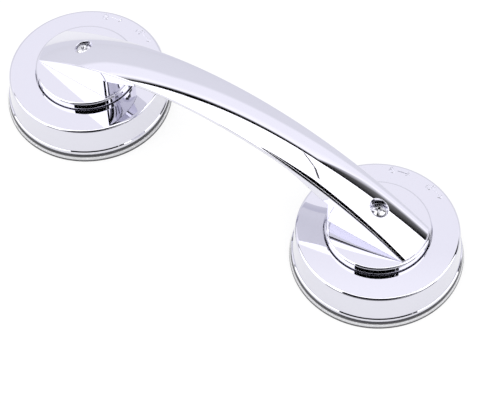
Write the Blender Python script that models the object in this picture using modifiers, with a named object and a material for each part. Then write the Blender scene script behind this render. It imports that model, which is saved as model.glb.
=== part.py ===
"""Twist-lock suction grab bar.

A chrome-plated arched handle stands on two round bosses. Round each boss turns a chrome locking ring.
Turning a ring by a quarter turn drives a cam sleeve under three guided pins, which lift a stud moulded
into the middle of a clear suction disc, while the disc's lip stays pressed down by a pressure plate.

Frame: X along the handle, Z away from the wall, origin on the wall in the middle between the cups.
Everything is in metres.
"""
import math

import bmesh
import bpy

# ---- driving dimensions ----
GAP = 0.0003                  # between pieces that touch
CUP_OFFSET = 0.08865          # cup axis from the middle
TURN = math.radians(90)       # travel of a locking ring
LIFT = 0.0025                 # rise of the stud over that travel

# handle
ARCH_TOP = 0.0574             # height of the strap's edges at mid-span
ARCH_RADIUS = 0.212           # radius of the strap's edges seen from the side
HALF_WIDTH = 0.0119
CROWN = 0.0024                # rise of the strap's middle above its edges
SHELL_WALL = 0.0016
FOOT_RADIUS = 0.0247          # both ends of a foot follow the boss
FOOT_Z = 0.0264
WALL_MID = 0.0015             # side wall under the edge at mid-span
WALL_FOOT = 0.0064            # side wall under the edge at the foot
BELLY_MID = 0.0060            # bulge of the underside at mid-span
BELLY_FOOT = 0.0028
BLEND_START = 0.040           # where the side wall starts to deepen
BLEND_END = 0.066
COVER_WALL = 0.0018
POST_RADIUS = 0.0066          # post inside a foot that carries the handle screw
POST_HOLE = 0.0024
POCKET_RADIUS = 0.0045
POCKET_FLOOR = 0.0356
COVER_REACH = 0.0665          # blank length of the underside from the middle, before its ends are cut
OVERSHOOT = 0.001             # how far cutters run past what they cut

# boss
BOSS_RADIUS = 0.0259
BOSS_TOP = 0.0261
BOSS_EDGE = 0.0012            # rounding of the boss's top edge
BOSS_SKIRT_Z = 0.0201
BOSS_PLATE_Z = 0.0225
BOSS_SKIRT_WALL = 0.0026
BOSS_HOLE = 0.0037            # for the threaded insert
BOSS_HUB = (0.0075, 0.0068)   # thick middle round the insert, at its top and bottom
BOSS_HUB_Z = 0.0212
BOSS_SCREW_OFFSET = 0.0168    # boss screws from the cup axis, along X
BOSS_SCREW_HOLE = 0.0018
BOSS_POCKET_RADIUS = 0.0032
BOSS_POCKET_Z = 0.0243

# fasteners: shank and head radius, tip, seat and head height of each screw, then its recess
HANDLE_SCREW = (0.0020, 0.0035, 0.0218, 0.0368, 0.0022)
HANDLE_RECESS = (0.0042, 0.0013)
BOSS_SCREW = (0.0012, 0.0028, 0.0132, 0.0246, 0.0014)
BOSS_RECESS = (0.0032, 0.0008)
HANDLE_WASHER = (0.0024, 0.0041, 0.0359, 0.0365)      # inner and outer radius, bottom and top
THREADED_INSERT = (0.0023, 0.0034, 0.0215, 0.0259)
STUD_WASHER = (0.0033, 0.0062, 0.0137, 0.0145)
GLIDE_RADII = (0.0224, 0.0258)

# locking ring
RING_TOP = 0.0214
RING_TOP_RADIUS = 0.0400
RING_LOW_RADIUS = 0.0413
RING_LIP_RADIUS = 0.0419
RING_LIP_Z = (0.0056, 0.0060)  # the lip's top, at its edge and at the wall
RING_ROOF_Z = 0.0190
RING_BOTTOM = 0.0044
RING_BORE = 0.0263
RING_EDGE = 0.0008
RING_WALL = 0.0020
LEDGE_RADIUS = 0.0220         # inner ledge that the boss keeps down
LEDGE_TOP = 0.0189
LEDGE_BOTTOM = 0.0173

# suction disc
DISC_RADIUS = 0.0429
DISC_TOP = 0.0040
DISC_DISH = 0.0008            # height of the middle over the wall when unlocked
RIM = [(0.0416, 0.0040), (0.0423, 0.0034), (0.0429, 0.0010)]    # the rim's radii and heights
LIP_INNER = 0.0365            # inner edge of the flat sealing lip
LIP_SLOPE = (0.0030, 0.0005)  # width and rise of the slope inside the lip
DISH_RADIUS = 0.0120
PAD_RADIUS = 0.0115
PAD_TOP = 0.0065
STUD_FLANGE_RADIUS = 0.0090
STUD_FLANGE_Z = (0.0025, 0.0038)
STUD_RADIUS = 0.0030
STUD_TOP = 0.0182
STUD_BEVEL = 0.0006
NUT_RADIUS = 0.00577
NUT_Z = (0.0148, 0.0178)

# pressure plate
PLATE_RADIUS = 0.0384
PLATE_Z = (0.0043, 0.0068)
HUB_RADII = (0.0150, 0.0186)
HUB_TOP = 0.0222
SLOT_WIDTH = 0.0044
SLOT_Z = (0.0088, 0.0162)
SLOT_DEPTH = 0.0080
HUB_HOLE = 0.0015
HUB_HOLE_Z = 0.0125
RIB_COUNT = 12
RIB_TOP = 0.0118
RIB_WIDTH = 0.0014

# cam
PIN_ANGLES = [math.radians(a) for a in (90, 210, 330)]
PIN_RADIUS = 0.0018
PIN_REACH = 0.0243
PIN_ROOT = 0.0080             # inner end of a pin, inside the follower
PIN_Z = 0.0110
SLEEVE_INNER = 0.0190
SLEEVE_STEP = 0.0250
SLEEVE_OUTER = 0.0276
SLEEVE_Z = (0.0071, 0.0170)
STOP_TOP = 0.0155
RAMP_MARGIN = math.radians(7)   # ramp beyond the pin at each end of its travel
FOLLOWER_Z = (0.0096, 0.0134)
FOLLOWER_RADIUS = 0.0146

LARGE = 40                    # sides of large round pieces
SMALL = 16                    # sides of small round pieces
SIDES = (("left", -1), ("right", 1))


# ---- scene ----
def clear_scene():
    for item in list(bpy.data.objects):
        bpy.data.objects.remove(item, do_unlink=True)


def new_collection(name):
    collection = bpy.data.collections.new(name)
    bpy.context.scene.collection.children.link(collection)
    return collection


def material(name, color, roughness, metallic=0.0, alpha=1.0):
    mat = bpy.data.materials.new(name)
    mat.use_nodes = True
    shader = mat.node_tree.nodes["Principled BSDF"]
    shader.inputs["Base Color"].default_value = (*color, 1.0)
    shader.inputs["Roughness"].default_value = roughness
    shader.inputs["Metallic"].default_value = metallic
    shader.inputs["Alpha"].default_value = alpha
    return mat


def chrome(name):
    return material(name, (0.82, 0.82, 0.87), 0.05, 1.0)


def clear_rubber(name):
    return material(name, (0.80, 0.82, 0.86), 0.25, 0.0, 0.6)


def plastic(name, color):
    return material(name, color, 0.45)


def steel(name):
    return material(name, (0.60, 0.60, 0.62), 0.25, 1.0)


def brass(name):
    return material(name, (0.80, 0.62, 0.30), 0.30, 1.0)


# ---- making solids ----
def mesh_object(name, bm, collection, mat=None, smooth_angle=35):
    bmesh.ops.recalc_face_normals(bm, faces=bm.faces)
    mesh = bpy.data.meshes.new(name)
    bm.to_mesh(mesh)
    bm.free()
    mesh.shade_smooth()
    mesh.set_sharp_from_angle(angle=math.radians(smooth_angle))
    item = bpy.data.objects.new(name, mesh)
    collection.objects.link(item)
    if mat:
        mesh.materials.append(mat)
    return item


def as_cutter(item):
    item.hide_render = True
    item.display_type = "WIRE"
    return item


def turned(name, profile, sides, collection, mat=None, closed=True):
    """A solid of revolution about Z. The profile holds (radius, z) and runs down its outer side."""
    mesh = bpy.data.meshes.new(name)
    count = len(profile)
    edges = [(i, i + 1) for i in range(count - 1)]
    if closed:
        edges.append((count - 1, 0))
    mesh.from_pydata([(r, 0, z) for r, z in profile], edges, [])
    item = bpy.data.objects.new(name, mesh)
    collection.objects.link(item)
    if mat:
        mesh.materials.append(mat)
    screw = item.modifiers.new("Turn", "SCREW")
    screw.axis = "Z"
    screw.angle = math.tau
    screw.steps = sides
    screw.render_steps = sides
    screw.use_merge_vertices = True
    screw.merge_threshold = 0.00001
    screw.use_smooth_shade = True
    return item


def cylinder(name, radius, low, high, sides, collection, mat=None, at=(0, 0)):
    bm = bmesh.new()
    bmesh.ops.create_cone(bm, cap_ends=True, segments=sides, radius1=radius, radius2=radius, depth=high - low)
    item = mesh_object(name, bm, collection, mat)
    item.location = (at[0], at[1], (low + high) / 2)
    return item


def washer(name, sizes, sides, x, collection, mat):
    """A flat ring, from its inner and outer radius, bottom and top."""
    inner, outer, low, high = sizes
    item = turned(name, [(inner, high), (outer, high), (outer, low), (inner, low)], sides, collection, mat)
    item.location.x = x


def box(name, size, centre, collection, turn=0.0):
    bm = bmesh.new()
    bmesh.ops.create_cube(bm, size=1.0)
    bmesh.ops.scale(bm, vec=size, verts=bm.verts)
    item = mesh_object(name, bm, collection)
    item.location = centre
    item.rotation_euler = (0, 0, turn)
    return item


def loft(name, stations, section, collection, mat=None):
    """A solid along X: section(x) gives the same number of (y, z) points at every station."""
    bm = bmesh.new()
    rings = [[bm.verts.new((x, y, z)) for y, z in section(x)] for x in stations]
    for first, second in zip(rings, rings[1:]):
        for i, vert in enumerate(first):
            j = (i + 1) % len(first)
            bm.faces.new((vert, first[j], second[j], second[i]))
    bm.faces.new(rings[0])
    bm.faces.new(rings[-1])
    return mesh_object(name, bm, collection, mat)


def combine(item, other, operation):
    boolean = item.modifiers.new(operation.title(), "BOOLEAN")
    boolean.operation = operation
    boolean.solver = "EXACT"
    boolean.object = other


def cut(item, cutter):
    combine(item, as_cutter(cutter), "DIFFERENCE")


def add(item, extra):
    combine(item, as_cutter(extra), "UNION")


def spread(low, high, count):
    return [low + (high - low) * i / (count - 1) for i in range(count)]


def rounded_corner(centre_r, centre_z, radius, start, end, count=3):
    """Points of a profile's quarter round, from angle start to end in degrees."""
    angles = [math.radians(a) for a in spread(start, end, count)]
    return [(centre_r + radius * math.cos(a), centre_z + radius * math.sin(a)) for a in angles]


# ---- handle ----
def edge_z(x):
    return ARCH_TOP - ARCH_RADIUS + math.sqrt(ARCH_RADIUS ** 2 - x ** 2)


def foot_blend(x):
    t = min(max((abs(x) - BLEND_START) / (BLEND_END - BLEND_START), 0.0), 1.0)
    return t * t * (3 - 2 * t)


def wall_bottom(x):
    return edge_z(x) - WALL_MID - (WALL_FOOT - WALL_MID) * foot_blend(x)


def belly(x):
    return BELLY_MID + (BELLY_FOOT - BELLY_MID) * foot_blend(x)


def arch_row(half, rise, base, count=7):
    """Points across Y on an arch of the given rise over a flat base."""
    return [(y, base + rise * (1 - (y / half) ** 2)) for y in spread(-half, half, count)]


def crown_block_section(x):
    return [(-HALF_WIDTH, 0.010)] + arch_row(HALF_WIDTH, CROWN, edge_z(x)) + [(HALF_WIDTH, 0.010)]


def hollow_section(x):
    half = HALF_WIDTH - SHELL_WALL
    rise = CROWN * (half / HALF_WIDTH) ** 2
    base = edge_z(x) + CROWN - rise - SHELL_WALL
    return [(-half, 0.005)] + arch_row(half, rise, base, 5) + [(half, 0.005)]


def hand_gap_section(x):
    reach = HALF_WIDTH + 0.003
    return [(-reach, 0.0), (-reach, wall_bottom(x)), (reach, wall_bottom(x)), (reach, 0.0)]


def plan_outline(radius):
    """Outline seen from above: straight along the handle, round the boss at each end."""
    points = []
    for sign in (1, -1):
        for angle in spread(-60, 60, 13):
            a = math.radians(angle)
            points.append((sign * (CUP_OFFSET + radius * math.cos(a)), sign * radius * math.sin(a)))
    return points


def prism(name, outline, low, high, collection):
    bm = bmesh.new()
    face = bm.faces.new([bm.verts.new((x, y, low)) for x, y in outline])
    result = bmesh.ops.extrude_face_region(bm, geom=[face])
    moved = [v for v in result["geom"] if isinstance(v, bmesh.types.BMVert)]
    bmesh.ops.translate(bm, verts=moved, vec=(0, 0, high - low))
    return mesh_object(name, bm, collection)


def foot_cylinders(item, radius, tag, cutters):
    for side, sign in SIDES:
        name = f"{side}_{tag}"
        cut(item, cylinder(name, radius, 0.0, 0.070, LARGE, cutters, at=(sign * CUP_OFFSET, 0)))


def make_handle_shell(parts, cutters):
    reach = CUP_OFFSET + FOOT_RADIUS + OVERSHOOT
    shell = loft("handle_shell", spread(-reach, reach, 39), crown_block_section, parts, chrome("chrome_handle"))
    plan = prism("handle_plan", plan_outline(FOOT_RADIUS), FOOT_Z, 0.070, cutters)
    combine(shell, as_cutter(plan), "INTERSECT")
    gap = loft("hand_gap", spread(-0.070, 0.070, 25), hand_gap_section, cutters)
    foot_cylinders(gap, FOOT_RADIUS, "gap_end", cutters)
    cut(shell, gap)
    hollow_mid = loft("hollow_mid", spread(-0.070, 0.070, 23), hollow_section, cutters)
    foot_cylinders(hollow_mid, FOOT_RADIUS + 2 * GAP, "hollow_end", cutters)
    cut(shell, hollow_mid)
    for side, sign in SIDES:
        inner = FOOT_RADIUS - SHELL_WALL
        low = sign * CUP_OFFSET - inner - OVERSHOOT
        high = sign * CUP_OFFSET + inner + OVERSHOOT
        hollow = loft(f"{side}_foot_hollow", spread(low, high, 11), hollow_section, cutters)
        limit = cylinder(f"{side}_foot_limit", inner, 0.0, 0.070, LARGE, cutters, at=(sign * CUP_OFFSET, 0))
        combine(hollow, as_cutter(limit), "INTERSECT")
        cut(shell, hollow)
        at = (sign * CUP_OFFSET, 0)
        top = POCKET_FLOOR + SHELL_WALL
        add(shell, cylinder(f"{side}_post", POST_RADIUS, FOOT_Z, top, SMALL, cutters, at=at))
        cut(shell, cylinder(f"{side}_post_hole", POST_HOLE, 0.020, 0.045, SMALL, cutters, at=at))
        cut(shell, cylinder(f"{side}_pocket", POCKET_RADIUS, POCKET_FLOOR, 0.050, SMALL, cutters, at=at))


def underside_section(x):
    top = wall_bottom(x) - GAP
    outer = arch_row(HALF_WIDTH, -belly(x), top)
    inner = arch_row(HALF_WIDTH - COVER_WALL, COVER_WALL - belly(x), top, 7)
    return outer + inner[::-1]


def make_handle_underside(parts, cutters):
    stations = spread(-COVER_REACH, COVER_REACH, 25)
    cover = loft("handle_underside", stations, underside_section, parts, chrome("chrome_underside"))
    foot_cylinders(cover, FOOT_RADIUS + GAP, "underside_end", cutters)


# ---- boss, its screws and the handle screw ----
def make_boss(side, x, parts, cutters):
    corner = rounded_corner(BOSS_RADIUS - BOSS_EDGE, BOSS_TOP - BOSS_EDGE, BOSS_EDGE, 90, 0)
    skirt = BOSS_RADIUS - BOSS_SKIRT_WALL
    profile = [(BOSS_HOLE, BOSS_TOP)] + corner + [(BOSS_RADIUS, BOSS_SKIRT_Z), (skirt, BOSS_SKIRT_Z),
               (skirt, BOSS_PLATE_Z), (BOSS_HUB[0], BOSS_PLATE_Z), (BOSS_HUB[1], BOSS_HUB_Z),
               (BOSS_HOLE, BOSS_HUB_Z)]
    boss = turned(f"{side}_boss", profile, LARGE, parts, chrome(f"chrome_{side}_boss"))
    boss.location.x = x
    for tag, sign in (("inner", -1), ("outer", 1)):
        at = (x + sign * BOSS_SCREW_OFFSET, 0)
        cut(boss, cylinder(f"{side}_{tag}_boss_hole", BOSS_SCREW_HOLE, 0.018, 0.030, SMALL, cutters, at=at))
        name = f"{side}_{tag}_boss_pocket"
        cut(boss, cylinder(name, BOSS_POCKET_RADIUS, BOSS_POCKET_Z, 0.030, SMALL, cutters, at=at))


def screw_profile(shank, head, tip_z, seat_z, head_height):
    """Half outline of a pan-head screw, from the middle of its head to its tip."""
    top = seat_z + head_height
    return [(0, top), (head * 0.6, top - head_height * 0.12), (head, seat_z + head_height * 0.45),
            (head, seat_z), (shank, seat_z), (shank, tip_z + shank * 0.5), (shank * 0.5, tip_z), (0, tip_z)]


def make_screw(name, at, profile, recess, parts, cutters):
    blade, depth = recess
    screw = turned(name, profile, SMALL, parts, steel(f"steel_{name}"), closed=False)
    screw.location.xy = at
    top = profile[0][1]
    for tag, turn in (("a", 45), ("b", 135)):
        slot = box(f"{name}_slot_{tag}", (blade, blade * 0.24, depth * 2), (at[0], at[1], top), cutters,
                   math.radians(turn))
        cut(screw, slot)


def make_fasteners(side, x, parts, cutters):
    make_screw(f"{side}_handle_screw", (x, 0), screw_profile(*HANDLE_SCREW), HANDLE_RECESS, parts, cutters)
    washer(f"{side}_handle_washer", HANDLE_WASHER, SMALL, x, parts, steel(f"steel_{side}_washer"))
    washer(f"{side}_threaded_insert", THREADED_INSERT, SMALL, x, parts, brass(f"brass_{side}_insert"))
    for tag, sign in (("inner", -1), ("outer", 1)):
        at = (x + sign * BOSS_SCREW_OFFSET, 0)
        make_screw(f"{side}_{tag}_boss_screw", at, screw_profile(*BOSS_SCREW), BOSS_RECESS, parts, cutters)


# ---- locking ring and cam sleeve ----
def make_locking_ring(side, x, parts):
    corner = rounded_corner(RING_TOP_RADIUS - RING_EDGE, RING_TOP - RING_EDGE, RING_EDGE, 90, 0)
    inside = RING_LOW_RADIUS - RING_WALL
    profile = [(RING_BORE, RING_TOP)] + corner
    lip_edge_z, lip_wall_z = RING_LIP_Z
    shoulder = SLEEVE_OUTER + 4 * GAP
    profile += [(RING_LOW_RADIUS, lip_wall_z), (RING_LIP_RADIUS, lip_edge_z), (RING_LIP_RADIUS, RING_BOTTOM),
                (inside, RING_BOTTOM), (RING_TOP_RADIUS - RING_WALL, RING_ROOF_Z), (shoulder, RING_ROOF_Z),
                (SLEEVE_OUTER, LEDGE_BOTTOM), (LEDGE_RADIUS, LEDGE_BOTTOM), (LEDGE_RADIUS, LEDGE_TOP),
                (RING_BORE, LEDGE_TOP)]
    turned(f"{side}_locking_ring", profile, LARGE, parts, chrome(f"chrome_{side}_ring")).location.x = x


def ramp_height(angle):
    """Height of the cam under a pin after the sleeve has turned by this angle, or of the stop block."""
    if -RAMP_MARGIN <= angle <= TURN + RAMP_MARGIN:
        return PIN_Z - PIN_RADIUS - GAP + LIFT * angle / TURN
    return STOP_TOP


def make_cam_sleeve(side, x, parts):
    """Three ramps and stops round the inside, with a plain tube outside that carries the ring."""
    step = math.radians(0.4)
    offsets = [-RAMP_MARGIN - step] + spread(-RAMP_MARGIN, TURN + RAMP_MARGIN, 12)
    offsets += [TURN + RAMP_MARGIN + step]
    bm = bmesh.new()
    rings = []
    for pin in PIN_ANGLES:
        for offset in offsets:
            angle = pin + offset
            height = ramp_height(offset)
            section = [(SLEEVE_INNER, SLEEVE_Z[0]), (SLEEVE_OUTER, SLEEVE_Z[0]), (SLEEVE_OUTER, SLEEVE_Z[1]),
                       (SLEEVE_STEP, SLEEVE_Z[1]), (SLEEVE_STEP, height), (SLEEVE_INNER, height)]
            rings.append([bm.verts.new((r * math.cos(angle), r * math.sin(angle), z)) for r, z in section])
    for k, first in enumerate(rings):
        second = rings[(k + 1) % len(rings)]
        for i, vert in enumerate(first):
            j = (i + 1) % len(first)
            bm.faces.new((vert, first[j], second[j], second[i]))
    sleeve = mesh_object(f"{side}_cam_sleeve", bm, parts, plastic(f"white_{side}_sleeve", (0.85, 0.85, 0.83)))
    sleeve.location.x = x


# ---- fixed hub ----
def make_pressure_plate(side, x, parts, cutters):
    low, high = PLATE_Z
    inner, outer = HUB_RADII
    profile = [(inner, HUB_TOP), (outer, HUB_TOP), (outer, high), (PLATE_RADIUS, high), (PLATE_RADIUS, low),
               (inner, low)]
    grey = plastic(f"grey_{side}_plate", (0.5, 0.5, 0.52))
    plate = turned(f"{side}_pressure_plate", profile, LARGE, parts, grey)
    plate.location.x = x
    mid = (inner + outer) / 2
    size = (SLOT_DEPTH, SLOT_WIDTH, SLOT_Z[1] - SLOT_Z[0])
    for i, angle in enumerate(PIN_ANGLES):
        centre = (x + mid * math.cos(angle), mid * math.sin(angle), (SLOT_Z[0] + SLOT_Z[1]) / 2)
        cut(plate, box(f"{side}_slot_{i}", size, centre, cutters, angle))
    rib_inner = SLEEVE_OUTER + 0.0010
    rib_outer = PLATE_RADIUS - 0.0012
    rib_middle = (rib_inner + rib_outer) / 2
    rib_low = low + 0.001
    size = (rib_outer - rib_inner, RIB_WIDTH, RIB_TOP - rib_low)
    for i in range(RIB_COUNT):
        angle = math.tau * (i + 0.5) / RIB_COUNT
        centre = (x + rib_middle * math.cos(angle), rib_middle * math.sin(angle), (rib_low + RIB_TOP) / 2)
        add(plate, box(f"{side}_rib_{i}", size, centre, cutters, angle))
    for tag, sign in (("inner", -1), ("outer", 1)):
        at = (x + sign * BOSS_SCREW_OFFSET, 0)
        cut(plate, cylinder(f"{side}_{tag}_hub_hole", HUB_HOLE, HUB_HOLE_Z, 0.030, 12, cutters, at=at))


def make_glide_washer(side, x, parts):
    sizes = (*GLIDE_RADII, LEDGE_TOP + GAP, BOSS_SKIRT_Z - GAP)
    washer(f"{side}_glide_washer", sizes, LARGE, x, parts, plastic(f"ptfe_{side}", (0.9, 0.9, 0.9)))


# ---- lifting train ----
def make_follower(side, x, parts, cutters):
    low, high = FOLLOWER_Z
    hole = STUD_RADIUS + GAP
    profile = [(hole, high), (FOLLOWER_RADIUS, high), (FOLLOWER_RADIUS, low), (hole, low)]
    black = plastic(f"acetal_{side}", (0.12, 0.12, 0.13))
    follower = turned(f"{side}_lift_follower", profile, 32, parts, black)
    follower.location.x = x
    length = PIN_REACH - PIN_ROOT
    mid = (PIN_REACH + PIN_ROOT) / 2
    for i, angle in enumerate(PIN_ANGLES):
        pin = cylinder(f"{side}_pin_{i}", PIN_RADIUS, -length / 2, length / 2, 12, cutters)
        pin.location = (x + mid * math.cos(angle), mid * math.sin(angle), PIN_Z)
        pin.rotation_euler = (0, math.pi / 2, angle)
        add(follower, pin)


def make_stud(side, x, parts):
    low, high = STUD_FLANGE_Z
    profile = [(0, STUD_TOP), (STUD_RADIUS - STUD_BEVEL, STUD_TOP), (STUD_RADIUS, STUD_TOP - STUD_BEVEL),
               (STUD_RADIUS, high), (STUD_FLANGE_RADIUS, high), (STUD_FLANGE_RADIUS, low), (0, low)]
    turned(f"{side}_pull_stud", profile, SMALL, parts, steel(f"steel_{side}_stud"), closed=False).location.x = x
    washer(f"{side}_stud_washer", STUD_WASHER, SMALL, x, parts, steel(f"steel_{side}_stud_washer"))


def make_stud_nut(side, x, parts, cutters):
    low, high = NUT_Z
    nut = cylinder(f"{side}_stud_nut", NUT_RADIUS, low, high, 6, parts, steel(f"steel_{side}_nut"), at=(x, 0))
    cut(nut, cylinder(f"{side}_nut_hole", STUD_RADIUS + GAP, 0.010, 0.020, SMALL, cutters, at=(x, 0)))


def make_suction_disc(side, x, parts):
    """A flat sealing lip, a shallow dish inside it and a thick middle moulded round the stud's flange."""
    flange = STUD_FLANGE_RADIUS + GAP
    hole = STUD_RADIUS + GAP
    floor = STUD_FLANGE_Z[0] - GAP
    ceiling = STUD_FLANGE_Z[1] + GAP
    slope_width, slope_rise = LIP_SLOPE
    profile = [(0, floor), (flange, floor), (flange, ceiling), (hole, ceiling), (hole, PAD_TOP),
               (PAD_RADIUS - 0.001, PAD_TOP), (PAD_RADIUS, PAD_TOP - 0.001), (PAD_RADIUS + 0.0015, DISC_TOP)]
    profile += RIM + [(DISC_RADIUS, 0.0), (LIP_INNER, 0.0), (LIP_INNER - slope_width, slope_rise),
                      (DISH_RADIUS, DISC_DISH), (0, DISC_DISH)]
    clear = clear_rubber(f"clear_{side}_disc")
    turned(f"{side}_suction_disc", profile, LARGE, parts, clear, closed=False).location.x = x


def main():
    clear_scene()
    parts = new_collection("suction_grab_bar")
    cutters = new_collection("cutters")
    make_handle_shell(parts, cutters)
    make_handle_underside(parts, cutters)
    for side, sign in SIDES:
        x = sign * CUP_OFFSET
        make_boss(side, x, parts, cutters)
        make_fasteners(side, x, parts, cutters)
        make_locking_ring(side, x, parts)
        make_cam_sleeve(side, x, parts)
        make_pressure_plate(side, x, parts, cutters)
        make_glide_washer(side, x, parts)
        make_follower(side, x, parts, cutters)
        make_stud(side, x, parts)
        make_stud_nut(side, x, parts, cutters)
        make_suction_disc(side, x, parts)


main()
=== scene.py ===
"""Looks of the suction grab bar: a chrome arched handle on two twist-lock suction cups.

Lengths are in metres. X runs along the handle, Z points away from the wall that the cups stick to.
"""

import math
from collections import namedtuple

import bmesh
import bpy
from mathutils import Matrix, Vector
from mathutils.geometry import tessellate_polygon
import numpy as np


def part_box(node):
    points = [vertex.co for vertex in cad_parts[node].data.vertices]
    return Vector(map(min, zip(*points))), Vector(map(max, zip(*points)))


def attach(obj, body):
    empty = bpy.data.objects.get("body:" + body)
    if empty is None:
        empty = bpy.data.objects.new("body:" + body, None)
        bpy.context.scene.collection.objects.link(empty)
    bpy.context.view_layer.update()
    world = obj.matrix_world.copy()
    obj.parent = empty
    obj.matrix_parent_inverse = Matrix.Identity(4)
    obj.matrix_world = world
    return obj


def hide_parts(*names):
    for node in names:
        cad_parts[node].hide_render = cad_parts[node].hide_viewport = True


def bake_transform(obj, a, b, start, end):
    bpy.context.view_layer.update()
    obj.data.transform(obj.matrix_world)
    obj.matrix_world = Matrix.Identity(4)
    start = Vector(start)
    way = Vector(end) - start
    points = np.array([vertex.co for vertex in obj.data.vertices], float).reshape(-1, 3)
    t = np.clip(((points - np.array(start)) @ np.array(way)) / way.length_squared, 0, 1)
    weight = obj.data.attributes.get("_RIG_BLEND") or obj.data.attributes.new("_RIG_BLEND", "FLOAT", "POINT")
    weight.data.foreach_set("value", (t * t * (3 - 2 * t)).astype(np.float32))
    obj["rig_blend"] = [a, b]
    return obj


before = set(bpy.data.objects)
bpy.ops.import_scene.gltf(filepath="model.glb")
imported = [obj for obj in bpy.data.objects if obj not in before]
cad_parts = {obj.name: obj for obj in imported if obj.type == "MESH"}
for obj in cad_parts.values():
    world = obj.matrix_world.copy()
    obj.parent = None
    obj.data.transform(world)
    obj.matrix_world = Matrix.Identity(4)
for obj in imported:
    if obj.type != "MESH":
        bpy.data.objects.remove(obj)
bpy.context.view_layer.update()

SIDES = (("left", -1), ("right", 1))


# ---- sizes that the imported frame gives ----
def low(node):
    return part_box(node)[0]


def high(node):
    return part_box(node)[1]


def outer_radius(node):
    return (high(node).x - low(node).x) / 2


CUP_OFFSET = (low("right_suction_disc").x + high("right_suction_disc").x) / 2
DISC_RADIUS = outer_radius("right_suction_disc")
RING_LIP_RADIUS = outer_radius("right_locking_ring")
RING_TOP = high("right_locking_ring").z
RING_BOTTOM = low("right_locking_ring").z
BOSS_RADIUS = outer_radius("right_boss")
BOSS_TOP = high("right_boss").z
HALF_WIDTH = high("handle_shell").y
FOOT_RADIUS = high("handle_shell").x - CUP_OFFSET
SCREW_TOP = high("right_handle_screw").z
HEAD_RADIUS = outer_radius("right_handle_screw")
WASHER_RADIUS = outer_radius("right_handle_washer")
WASHER_Z = (low("right_handle_washer").z, high("right_handle_washer").z)

# ---- the handle's shape, as the CAD has it ----
CROWN = 0.0024
ARCH_TOP = high("handle_shell").z - CROWN
ARCH_RADIUS = 0.212
WALL_MID = 0.0015
WALL_FOOT = 0.0064
BELLY_MID = 0.0060
BELLY_FOOT = 0.0028
BLEND_START = 0.040
BLEND_END = 0.066
POCKET_RADIUS = 0.0045
POCKET_FLOOR = 0.0356
POST_HOLE = 0.0024

# ---- finer detail than the CAD holds ----
EDGE_ROUND = 0.0009           # along the handle's edges
CORNER_ROUND = 0.0013         # upright corners of a foot
SEAM = 0.00008                # hairline between plated pieces that touch
SOLE_Z = BOSS_TOP + SEAM      # a foot stands on its boss
POCKET_ROUND = 0.00025
PATCH = 0.0060                # square of handle skin that holds a screw pocket
ACROSS = 24                   # faces across the handle
ROUND_STEPS = 6               # faces round a small radius
TURN_STEPS = 192              # faces round a cup
SCREW_STEPS = 64              # faces round a screw or washer
CRISP = 0.0002                # rounding of a crisp moulded or plated edge
SHARP = 0.0001                # rounding of a turned metal edge
TINY = 1e-6                   # places nearer than this are the same

# ---- locking ring ----
RING_EDGE = 0.0015
RING_TOP_RADIUS = 0.0400
RING_LOW_RADIUS = 0.0413      # just over the lip
RING_LIP_Z = (0.0049, 0.0064)
RING_STEP_Z = 0.0068          # where the lip starts to stand out
RING_BORE = 0.0263
RING_WALL = 0.0020
RING_ROOF_Z = 0.0190          # underside of the ring's top
SLEEVE_RADIUS = 0.0276        # room for the cam sleeve
LEDGE_RADIUS = 0.0220
LEDGE_Z = (0.0173, 0.0189)
MARK_RADIUS = 0.0365          # middle of the raised marks on a ring
MARK_STROKE = 0.00024
MARK_DEGREES = ((105, False), (72, True))    # place on the ring, and whether the padlock is open

# ---- boss ----
BOSS_EDGE = 0.0012
BOSS_WALL = 0.0026
BOSS_LOW_Z = 0.0201
BOSS_ROOF_Z = 0.0225          # underside of the boss's top
BOSS_POST_RADII = (0.0068, 0.0075)    # at its lower end and where it meets the top
BOSS_POST_Z = 0.0212
BOSS_BORE = 0.0037

# ---- suction disc ----
DISC_TOP = 0.0040             # the rim goes in under the ring here
DISC_EDGE_RADIUS = 0.0418
DISC_EDGE_Z = 0.0008
LIP_INNER = 0.0365            # inner edge of the flat sealing lip
DISH_RADII = (0.0120, 0.0335)
DISH_Z = (0.0008, 0.0006)
PAD_RADII = (0.0115, 0.0130)     # at its top and its foot
PAD_TOP = 0.0065
FLANGE_RADIUS = 0.0093        # room for the stud's flange
FLANGE_Z = (0.0022, 0.0041)
STUD_HOLE = 0.0033
BEND_RADII = (0.0125, 0.0360)    # the disc bends between these when the stud lifts

# ---- handle screw ----
SCREW_SEAT = 0.0368
SCREW_CROWN = 0.0009          # height of the head's domed top
SCREW_SHANK = 0.0020
SCREW_POINT = 0.0008
RECESS_LENGTH = 0.0040
RECESS_WIDTH = 0.0011
RECESS_DEPTH = 0.0016
RECESS_TURN = math.radians(20)


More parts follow.
